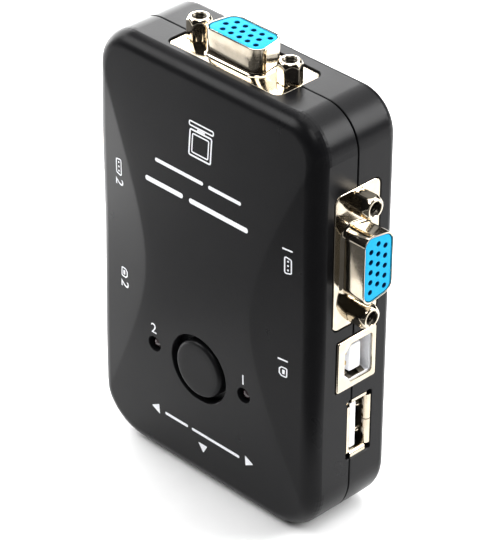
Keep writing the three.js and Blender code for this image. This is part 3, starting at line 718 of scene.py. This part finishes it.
def d_outline():
    slant = 2 * D_HALF_DEPTH * math.tan(math.radians(D_SLANT_DEGREES))
    wide, deep = D_HALF_WIDTH, D_HALF_DEPTH
    corners = [(-wide + slant, -deep), (wide - slant, -deep), (wide, deep), (-wide, deep)]
    return rounded(corners, D_CORNER, 8)


def vga_shell():
    """Flange and D-shaped shell drawn from one sheet: a flared root, and a rounded mouth."""
    bm = bmesh.new()
    low = -FLANGE_THICKNESS
    outline = rectangle(FLANGE_WIDTH, FLANGE_DEPTH, 1.6)
    flange = (outline, [*soft_edge(0.2, 0, 1), (0, low + 0.15), (-0.15, low)])
    root = []
    for turn in (0, 0.4, 0.8, 1.2, math.pi / 2):
        root.append((D_FLARE * (1 - math.sin(turn)), D_FLARE * (1 - math.cos(turn))))
    rim = D_WALL / 2
    mouth = [(0, 5.68), (-0.06, 5.84), (-rim, VGA_RISE), (0.06 - D_WALL, 5.84), (-D_WALL, 5.68)]
    mouth.append((-D_WALL, low))
    shell = (d_outline(), root + mouth)
    screws = [(circle(1.6, 24, side * SCREW_OFFSET), [(0, 0), (0, low)]) for side in (-1, 1)]
    sheet(bm, flange, shell, *screws)
    return bm


def pin_places():
    places = []
    for row in (-1, 0, 1):
        shift = PIN_PITCH / 4 if row == 0 else -PIN_PITCH / 4
        places += [(column * PIN_PITCH + shift, row * ROW_SPACING) for column in (-2, -1, 0, 1, 2)]
    return places


def vga_insulator():
    bm = bmesh.new()
    inset = D_WALL + 0.15
    face, back = VGA_FACE, VGA_BLOCK_BACK
    outer = [(grow - inset, level) for grow, level in soft_edge(0.12, face, 1)] + [(-inset, back)]
    bore = [(0.12, face), (0.03, face - 0.06), (0, face - 0.15), (0, back)]
    holes = [(circle(PIN_HOLE_RADIUS, 14, x, y), bore) for x, y in pin_places()]
    sheet(bm, (d_outline(), outer), *holes)
    return bm


def vga_contacts():
    """Sprung tubes that sit well down in the holes of the insulator."""
    bm = bmesh.new()
    for x, y in pin_places():
        tube = [(0, CONTACT_TOP - 0.05), (0, 1.3)]
        outer = (circle(0.46, 12, x, y), [(-0.04, CONTACT_TOP), *tube])
        inner = (circle(0.3, 12, x, y), [(0.04, CONTACT_TOP), *tube])
        sheet(bm, outer, inner)
    return bm


def jackscrew():
    """Hexagonal standoff with a rounded end and a cut thread, on a shank."""
    sides = 72
    half_flats = STANDOFF_FLATS / 2
    corner = half_flats / math.cos(math.pi / 6) - 0.07
    turns = [2 * math.pi * index / sides for index in range(sides)]

    def hexagon(limit, level):
        ring = []
        for turn in turns:
            off_flat = (turn + math.pi / 6) % (math.pi / 3) - math.pi / 6
            reach = min(half_flats / math.cos(off_flat), corner, limit)
            ring.append((reach * math.cos(turn), reach * math.sin(turn), level))
        return ring

    def thread(height):
        ring = []
        for turn in turns:
            phase = (height / THREAD_PITCH + turn / (2 * math.pi)) % 1
            reach = THREAD_RADIUS + THREAD_HEIGHT * abs(2 * phase - 1)
            ring.append((reach * math.cos(turn), reach * math.sin(turn), height))
        return ring

    uncut = 9
    shank = [(STANDOFF_SHANK_RADIUS, -6), (STANDOFF_SHANK_RADIUS, 0.1)]
    prism = [(2.4, 0.1), (uncut, 0.25), (uncut, 3)]
    dome = [(2.75 - 0.5 * (step / 8) ** 2, 3 + 1.45 * step / 8) for step in range(1, 9)]
    rim = [(2.17, 4.59), (2.02, 4.68), (1.8, 4.7), (1.66, 4.69), (1.54, 4.6)]
    rings = [hexagon(limit, level) for limit, level in shank + prism + dome + rim]
    rings += [thread(4.5 - 0.1 * step) for step in range(36)]
    bm = bmesh.new()
    loft(bm, rings, True, True)
    return bm


# Faces inside the pin holes, which get painted shade.
def in_pin_hole(spot):
    reach = min(math.hypot(spot.x - x, spot.y - y) for x, y in pin_places())
    return reach < PIN_HOLE_RADIUS + 0.01 and spot.z < VGA_FACE - 0.1


# Faces inside the standoff's threaded bore, which get painted shade.
def in_screw_bore(spot):
    return math.hypot(spot.x, spot.y) < THREAD_RADIUS + THREAD_HEIGHT and spot.z > 0.3


def make_vga(name, edge):
    place = place_of(name, "vga", edge)
    add_piece(f"{name}_plating", vga_shell(), place, NICKEL, [f"{name}_shell"])
    stands_for = [f"{name}_insulator"]
    insulator = add_piece(f"{name}_block", vga_insulator(), place, BLUE, stands_for)
    # The pin holes get painted shade.
    paint_shade_inside(insulator, place, SHADE_PAINTED_BLUE, in_pin_hole)
    add_piece(f"{name}_contacts", vga_contacts(), place, GOLD)
    for index, side in enumerate((-1, 1)):
        turn = Matrix.Rotation(math.radians(STANDOFF_TURNS[name][index]), 4, "Z")
        seat = place @ Matrix.Translation((side * SCREW_OFFSET, 0, 0)) @ turn
        number = index + 1
        stands_for = [f"{name}_jackscrew_{number}"]
        standoff = add_piece(f"{name}_standoff_{number}", jackscrew(), seat, NICKEL, stands_for)
        # The threaded bore gets painted shade.
        paint_shade_inside(standoff, seat, SHADE_PAINTED_METAL, in_screw_bore)


# ---------------------------------------------------------------- USB sockets


USB_B_WIDTH = 12.04
USB_B_DEPTH = 11.1
USB_B_BACK = -16
USB_B_WALL = 0.4
USB_B_BLOCK_FRONT = -0.55
USB_B_CAVITY = -9
USB_B_BLOCK_BACK = -15.5
USB_B_TONGUE_WIDTH = 6.1
USB_B_TONGUE_DEPTH = 3.3
USB_B_TONGUE_OFFSET = -0.5

USB_A_WIDTH = 13.1
USB_A_DEPTH = 5.7
USB_A_WALL = 0.35
USB_A_NECK = -0.85
USB_A_BACK = -14
USB_A_LIP_GROWTH = 0.5
USB_A_FINGER_OFFSET = 3.15


def usb_b_mouth():
    half, low, high, chamfer = 4.25, -4, 3.2, 1.7
    below = high - chamfer
    beside = half - chamfer
    corners = [(-half, low), (half, low), (half, below), (beside, high), (-beside, high), (-half, below)]
    return rounded(corners, 0.35, 3)


def usb_b_shell():
    """Drawn shell with a rolled mouth, and spring fingers on a plate at each side."""
    bm = bmesh.new()
    wall = -USB_B_WALL
    outer = [*soft_edge(0.35, 0, 1), (0, USB_B_BACK), (wall, USB_B_BACK), (wall, wall)]
    mouth = [(0.45, 0), (0.37, -0.03), (0.35, -0.1), (0.35, wall)]
    sheet(bm, (rectangle(USB_B_WIDTH, USB_B_DEPTH, 0.6), outer), (usb_b_mouth(), mouth))
    for side in (-1, 1):
        turn = Matrix.Rotation(math.pi / 2 * side, 4, "Z")
        for across in (-2.1, 1.7):
            line = [(0, -0.6), (0.25, -1.1), (0.5, -1.8), (0.55, -2.4), (0.4, -3.2), (0.05, -4.2)]
            place = Matrix.Translation((side * 4.22, across, 0)) @ turn
            bent_strip(bm, line, 1.5, 0.2, place)
        place = Matrix.Translation((side * 4.2, -0.2, 0)) @ turn
        bent_strip(bm, [(0, -0.7), (0, -8)], 3.6, 0.12, place)
    return bm


# The spring plates deep inside the USB-B shell, which get painted shade.
def in_usb_b_shell(spot):
    return spot.z < -0.65 and 3.5 < abs(spot.x) < 4.5 and abs(spot.y) < 3


def usb_b_insulator():
    """Liner of the shell, its back wall, and the tongue that carries the contacts."""
    bm = bmesh.new()
    front, cavity, back = USB_B_BLOCK_FRONT, USB_B_CAVITY, USB_B_BLOCK_BACK
    outer = (rectangle(10.94, 10, 0.3), [(0, front), (0, cavity), (0, back)])
    mouth = (usb_b_mouth(), [(0.04, front), (0, front - 0.05), (0, cavity), (0, back)])
    sheet(bm, outer, mouth)
    sheet(bm, (rectangle(9.5, 8.5, 0.3, 0, -0.4), [(0, cavity), (0, back + 0.5)]))
    tongue = block(USB_B_TONGUE_WIDTH, USB_B_TONGUE_DEPTH, cavity - 0.5, -1.1, 0.35, 0, USB_B_TONGUE_OFFSET)
    sheet(bm, tongue)
    return bm


def usb_b_contacts():
    bm = bmesh.new()
    reach = USB_B_TONGUE_DEPTH / 2 + 0.02
    for x in (-1.25, 1.25):
        for y in (USB_B_TONGUE_OFFSET - reach, USB_B_TONGUE_OFFSET + reach):
            sheet(bm, block(1, 0.12, -8.5, -1.9, 0.05, x, y))
    return bm


def usb_a_lip(bm, length, half_depth, turn, along=0):
    """A flared edge of the shell on one side of the mouth."""
    flare = USB_A_LIP_GROWTH
    line = [(half_depth - USB_A_WALL, USB_A_NECK - 0.35)]
    for step in range(6):
        sweep = math.pi / 2 * step / 5
        out = half_depth + flare - USB_A_WALL - flare * math.cos(sweep)
        line.append((out, USB_A_NECK + flare * math.sin(sweep)))
    line.append((half_depth + flare, USB_A_NECK + flare))
    place = Matrix.Rotation(turn, 4, "Z") @ Matrix.Translation((along, 0, 0))
    bent_strip(bm, line, length, 0.33, place)


def usb_a_dimple(side):
    """The pressed bump at the root of a spring finger."""
    bm = bmesh.new()
    turns = [math.pi / 2 * step / 6 for step in range(6)]
    turned(bm, [(0.7 * math.cos(turn), 1.3 * math.sin(turn)) for turn in turns], 24)
    place = Matrix.Translation((side * USB_A_FINGER_OFFSET, -2.48, -2.45))
    bm.transform(place @ Matrix.Rotation(-math.pi / 2, 4, "X"))
    return bm


def usb_a_shell():
    """Pressed shell, flared on all four sides of its mouth, with two spring fingers on one wall."""
    bm = bmesh.new()
    steps = [(0, USB_A_NECK), (0, USB_A_BACK)]
    inner = rectangle(USB_A_WIDTH - 2 * USB_A_WALL, USB_A_DEPTH - 2 * USB_A_WALL, 0.2)
    sheet(bm, (rectangle(USB_A_WIDTH, USB_A_DEPTH, 0.5), steps), (inner, steps))
    half_turn = math.pi
    usb_a_lip(bm, 11.2, USB_A_DEPTH / 2, 0)
    for side in (-1, 1):
        usb_a_lip(bm, 5.8, USB_A_DEPTH / 2, half_turn, side * 3)
        usb_a_lip(bm, 4.2, USB_A_WIDTH / 2, side * half_turn / 2)
        line = [(2.45, -2.9), (2.15, -3.2), (1.6, -3.5), (1.3, -4), (1.3, -4.5), (1.7, -5.2), (2.4, -6)]
        turn = Matrix.Rotation(half_turn, 4, "Z")
        bent_strip(bm, line, 1.1, 0.2, Matrix.Translation((side * USB_A_FINGER_OFFSET, 0, 0)) @ turn)
        merge_into(bm, usb_a_dimple(side))
    return bm


# The inner walls deep in the USB-A shell, which get painted shade.
def in_usb_a_shell(spot):
    return spot.z < -1.3 and (abs(spot.x) > 5.9 or abs(spot.y) > 2.49)


def usb_a_insulator():
    """Back block, and the tongue that carries the contacts."""
    bm = bmesh.new()
    sheet(bm, (rectangle(12.1, 4.7, 0.2), [(0, -9.5), (0, USB_A_BACK + 0.3)]))
    sheet(bm, block(11.1, 1.84, -10, -0.9, 0.25, 0, 0.85))
    return bm


def usb_a_contacts():
    bm = bmesh.new()
    for x in (-3.5, -1, 1, 3.5):
        sheet(bm, block(1, 0.12, -9, -2, 0.05, x, -0.13))
    return bm


USB_PARTS = {
    "usb_b": (usb_b_shell, in_usb_b_shell, usb_b_insulator, usb_b_contacts),
    "usb_a": (usb_a_shell, in_usb_a_shell, usb_a_insulator, usb_a_contacts),
}


def make_usb(name, kind, edge):
    place = place_of(name, kind, edge)
    shell, is_inside, insulator, contacts = USB_PARTS[kind]
    plating = add_piece(f"{name}_plating", shell(), place, NICKEL, [f"{name}_shell"])
    # The deep inner walls of the shell get painted shade.
    paint_shade_inside(plating, place, SHADE_PAINTED_METAL, is_inside)
    add_piece(f"{name}_block", insulator(), place, WHITE, [f"{name}_insulator"])
    add_piece(f"{name}_contacts", contacts(), place, GOLD)


for socket_name, socket_kind, socket_edge in SOCKETS:
    if socket_kind == "vga":
        make_vga(socket_name, socket_edge)
    else:
        make_usb(socket_name, socket_kind, socket_edge)

# ---------------------------------------------------------------- button and lamps

CAP_RADIUS = 6.45
CAP_EDGE = 0.9
CAP_FLANGE_RADIUS = 8.4
CAP_FLANGE_BACK = 7.6
CAP_FLANGE_FRONT = 8.7
LENS_RADIUS = 1.5
LENS_FLANGE_RADIUS = 1.9
LENS_FLANGE_BACK = 5.2
LENS_FLANGE_FRONT = 6.2
LEAD_OFFSET = 1.27
LEAD_WIDTH = 0.5


def make_button():
    bm = bmesh.new()
    face = CAP_HIGH.z
    profile = [(CAP_RADIUS, CAP_LOW.z + 1.2), (CAP_RADIUS, CAP_FLANGE_BACK)]
    profile += [(CAP_FLANGE_RADIUS, CAP_FLANGE_BACK), (CAP_FLANGE_RADIUS, CAP_FLANGE_FRONT)]
    profile.append((CAP_RADIUS, CAP_FLANGE_FRONT))
    profile += [(CAP_RADIUS + grow, level) for grow, level in soft_edge(CAP_EDGE, face, 1, 6)[::-1]]
    profile += [(share * (CAP_RADIUS - CAP_EDGE), face) for share in (0.75, 0.5, 0.25, 0.02)]
    turned(bm, profile, 96, 0, BUTTON_HEIGHT)
    add_piece("button_knob", bm, CASE_TO_WORLD, BUTTON, ["button_cap"], "button")


def make_lamp(node, name):
    low, high = case_box(node)
    middle = (low + high) / 2
    bm = bmesh.new()
    dome = high.z - LENS_RADIUS
    turns = [math.pi / 2 * step / 8 for step in range(8)]
    profile = [(LENS_FLANGE_RADIUS, LENS_FLANGE_BACK), (LENS_FLANGE_RADIUS, LENS_FLANGE_FRONT)]
    profile.append((LENS_RADIUS, LENS_FLANGE_FRONT))
    profile += [(LENS_RADIUS * math.cos(turn), dome + LENS_RADIUS * math.sin(turn)) for turn in turns]
    profile.append((0.03, high.z))
    turned(bm, profile, 40, middle.x, middle.y)
    lead_top = LENS_FLANGE_BACK + 0.2
    for x in (-LEAD_OFFSET, LEAD_OFFSET):
        sheet(bm, block(LEAD_WIDTH, LEAD_WIDTH, low.z, lead_top, 0.05, middle.x + x, middle.y))
    add_piece(name, bm, CASE_TO_WORLD, LENS, [node])


SPRING_WIRE = 0.25
SPRING_TURNS = 4


def make_spring():
    """The button's return spring: a coil that stands on the switch body."""
    low, high = case_box("switch_spring")
    middle = (low + high) / 2
    reach = (high.x - low.x) / 2 - SPRING_WIRE
    climb = high.z - low.z - 2 * SPRING_WIRE
    steps = SPRING_TURNS * 24
    section = circle(SPRING_WIRE, 8)(0)
    rings = []
    for step in range(steps + 1):
        turn = 2 * math.pi * SPRING_TURNS * step / steps
        height = low.z + SPRING_WIRE + climb * step / steps
        ring = []
        for out, up in section:
            x = middle.x + (reach + out) * math.cos(turn)
            y = middle.y + (reach + out) * math.sin(turn)
            ring.append((x, y, height + up))
        rings.append(ring)
    bm = bmesh.new()
    loft(bm, rings, True, True)
    coil = add_piece("return_spring", bm, CASE_TO_WORLD, STEEL, ["switch_spring"])
    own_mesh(coil)


make_button()
make_spring()
make_lamp("led_port_1", "lamp_1")
make_lamp("led_port_2", "lamp_2")

# ---------------------------------------------------------------- printing on the front

INK_RISE = 0.035
INK_FOOT = -0.05


def on_face(bm, turn, x, y):
    """Lays flat artwork on the front face, turned by so many degrees, with its centre at x, y."""
    bm.transform(Matrix.Translation((x, y, 0)) @ Matrix.Rotation(math.radians(turn), 4, "Z"))
    for vert in bm.verts:
        vert.co.z += front_level(vert.co.x, vert.co.y)
    return bm


def flat(outline):
    return [(outline, [(0, INK_RISE), (0, INK_FOOT)])]


def frame_of(outline, line):
    return [(outline, [(0, INK_RISE), (0, INK_FOOT)]), (outline, [(-line, INK_RISE), (-line, INK_FOOT)])]


def print_piece(name, bm):
    add_piece(name, bm, CASE_TO_WORLD, INK)


def digit(bm, text, size, x=0, y=0):
    curve = bpy.data.curves.new("digit", "FONT")
    curve.body = text
    curve.size = size
    curve.extrude = (INK_RISE - INK_FOOT) / 2
    curve.align_x = "CENTER"
    curve.align_y = "CENTER"
    holder = bpy.data.objects.new("digit", curve)
    mesh = bpy.data.meshes.new_from_object(holder)
    mesh.transform(Matrix.Translation((x, y, (INK_RISE + INK_FOOT) / 2)))
    bm.from_mesh(mesh)
    bpy.data.objects.remove(holder)


def screen_symbol():
    """A screen on its foot, drawn hanging from the edge that its socket is on."""
    bm = bmesh.new()
    sheet(bm, *frame_of(rectangle(6.4, 5.9, 0.5, 0, -1.2, 2), 0.36))
    sheet(bm, *frame_of(rectangle(4.8, 4.3, 0.4, 0, -1.2, 2), 0.28))
    sheet(bm, *flat(rectangle(2.2, 0.34, 0.1, 0, 1.98, 2)))
    sheet(bm, *frame_of(rectangle(7, 1.2, 0.4, 0, 2.82, 2), 0.3))
    return bm


def bars(*spans):
    """Plain rules: each span is (left, right, height of the rule, y)."""
    bm = bmesh.new()
    for left, right, thick, y in spans:
        sheet(bm, *flat(rectangle(right - left, thick, thick * 0.45, (left + right) / 2, y, 4)))
    return bm


def arrow(width, length):
    """A solid triangle that points along +x."""
    bm = bmesh.new()
    corners = [(-length / 2, -width / 2), (length / 2, 0), (-length / 2, width / 2)]
    sheet(bm, *flat(rounded(corners, 0.12, 2)))
    return bm


def vga_symbol(number):
    bm = bmesh.new()
    corners = [(-2.7, -0.95), (0.7, -0.95), (1.1, 0.95), (-3.1, 0.95)]
    sheet(bm, *frame_of(rounded(corners, 0.5, 4), 0.28))
    for x in (-2, -1, 0):
        sheet(bm, *flat(circle(0.22, 12, x, 0)))
    digit(bm, number, 3.6, 2.6)
    return bm


def usb_symbol(number):
    bm = bmesh.new()
    corners = [(-2.3, -1.05), (0, -1.05), (0, 0.45), (-0.55, 1.05), (-1.75, 1.05), (-2.3, 0.45)]
    sheet(bm, *frame_of(rounded(corners, 0.4, 3), 0.28))
    sheet(bm, *flat(rectangle(1, 0.6, 0.1, -1.15, -0.1, 2)))
    digit(bm, number, 3.6, 1.6)
    return bm


def lamp_number(number):
    bm = bmesh.new()
    digit(bm, number, 3.4)
    return bm


print_piece("print_screen", on_face(screen_symbol(), 0, -0.2, 82.5))
thin_rules = [(-12.6, 1.1, 0.8, 73.5), (2.6, 11.7, 0.8, 73.5)]
thick_rules = [(-15.2, -4.4, 1.1, 68.4), (-2.6, 13.9, 1.1, 68.4)]
print_piece("print_rules", on_face(bars(*thin_rules, *thick_rules), 0, 0, 0))
print_piece("print_arrow_left", on_face(arrow(2.6, 2.3), 180, -13.9, 12.5))
print_piece("print_arrow_right", on_face(arrow(2.6, 2.3), 0, 13.9, 12.5))
print_piece("print_arrow_down", on_face(arrow(2.7, 2.2), -90, 0, 8.75))
print_piece("print_rule_low", on_face(bars((-11, -4.2, 0.7, 12.4), (-3, 11, 0.7, 12.4)), 0, 0, 0))
print_piece("print_lamp_1", on_face(lamp_number("1"), 0, LED_OFFSET, 33))
print_piece("print_lamp_2", on_face(lamp_number("2"), 0, -LED_OFFSET, 33))
print_piece("print_screen_1", on_face(vga_symbol("1"), 90, 24.4, 66))
print_piece("print_screen_2", on_face(vga_symbol("2"), -90, -23.6, 66))
print_piece("print_usb_1", on_face(usb_symbol("1"), 90, 23.5, 41))
print_piece("print_usb_2", on_face(usb_symbol("2"), -90, -22.4, 41))

# ---------------------------------------------------------------- pieces kept from the CAD

KEPT = {
    "circuit_board": LAMINATE, "hub_chip": EPOXY, "usb_switch_chip": EPOXY, "video_switch_chip_1": EPOXY,
    "video_switch_chip_2": EPOXY, "crystal": CAN, "capacitor_1": SLEEVE, "capacitor_2": SLEEVE,
    "switch_plunger": WHITE, "switch_body": HOUSING, "case_screw_1": ZINC,
    "case_screw_2": ZINC, "case_screw_3": ZINC, "case_screw_4": ZINC, "vga_monitor_rear_housing": HOUSING,
    "vga_port_1_rear_housing": HOUSING, "vga_port_2_rear_housing": HOUSING,
}


KEPT_BEVEL = 0.0001


def keep_node(name, material):
    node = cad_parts[name]
    node.data.materials.clear()
    node.data.materials.append(material)
    node.data.shade_smooth()
    node.data.set_sharp_from_angle(angle=math.radians(32))
    bevel = node.modifiers.new("soft_edges", "BEVEL")
    bevel.width = KEPT_BEVEL
    bevel.segments = 2
    bevel.limit_method = "ANGLE"


for kept_name, kept_material in KEPT.items():
    keep_node(kept_name, kept_material)

# ---------------------------------------------------------------- floor and light

FLOOR_REACH = 3
CARD_HEIGHT = 0.001


def make_floor():
    bm = bmesh.new()
    bmesh.ops.create_grid(bm, x_segments=8, y_segments=8, size=FLOOR_REACH)
    mesh = bpy.data.meshes.new("floor")
    bm.to_mesh(mesh)
    bm.free()
    mesh.materials.append(PALE)
    floor = bpy.data.objects.new("floor", mesh)
    bpy.context.scene.collection.objects.link(floor)


def add_card(name, left, right, near, far, material):
    """A card flat on the floor that only shows where the object mirrors it. left and right are
    metres across the picture, near and far are metres towards the camera."""
    bm = bmesh.new()
    corners = [(left, -near), (right, -near), (right, -far), (left, -far)]
    bm.faces.new([bm.verts.new((x, y, CARD_HEIGHT)) for x, y in corners])
    bmesh.ops.recalc_face_normals(bm, faces=bm.faces)
    mesh = bpy.data.meshes.new(name)
    bm.to_mesh(mesh)
    bm.free()
    mesh.transform(Matrix.Rotation(math.radians(CAMERA_AZIMUTH), 4, "Z"))
    mesh.materials.append(material)
    card = bpy.data.objects.new(name, mesh)
    card.visible_camera = False
    card.visible_shadow = False
    card.visible_diffuse = False
    bpy.context.scene.collection.objects.link(card)


def add_light(name, place, aim, width, height, power):
    data = bpy.data.lights.new(name, "AREA")
    data.shape = "RECTANGLE"
    data.size = width
    data.size_y = height
    data.energy = power
    light = bpy.data.objects.new(name, data)
    light.location = place
    light.visible_camera = False
    light.rotation_mode = "QUATERNION"
    light.rotation_quaternion = (Vector(aim) - Vector(place)).to_track_quat("-Z", "Y")
    bpy.context.scene.collection.objects.link(light)


def make_world(strength):
    world = bpy.data.worlds.new("studio")
    world.use_nodes = True
    background = world.node_tree.nodes["Background"]
    background.inputs["Color"].default_value = (1, 1, 1, 1)
    background.inputs["Strength"].default_value = strength
    bpy.context.scene.world = world


make_floor()
add_card("dark_card", -0.35, 0.35, 0.06, 0.6, CHARCOAL)
add_card("grey_card", -0.35, -0.065, -0.01, 0.06, GREY)
make_world(0.015)
LIGHTS = [
    ("overhead", (-0.1, 0.35, 1.0), (0, 0, 0), 1.2, 1.2, 13),
    ("left_panel", (-0.3, 0.1, 0.15), (0, 0, 0.02), 0.4, 0.3, 2.5),
    ("right_back", (0.5, 0.6, 0.5), (0, 0, 0.05), 0.5, 0.5, 11),
    ("front_left", (-0.5, -0.45, 0.55), (0, 0, 0.05), 0.4, 0.4, 4),
    ("camera_side", (0.35, -0.35, 0.9), (0, 0, 0.05), 0.4, 0.4, 3),
    ("back_left", (-0.6, 0.6, 0.6), (0, 0, 0.05), 0.6, 0.6, 1.6),
    ("left_floor", (-0.152, -0.046, 0.003), (-0.152, -0.046, 1), 0.1, 0.1, 0.06),
]
for light_values in LIGHTS:
    add_light(*light_values)
bpy.context.scene.view_settings.view_transform = "Standard"
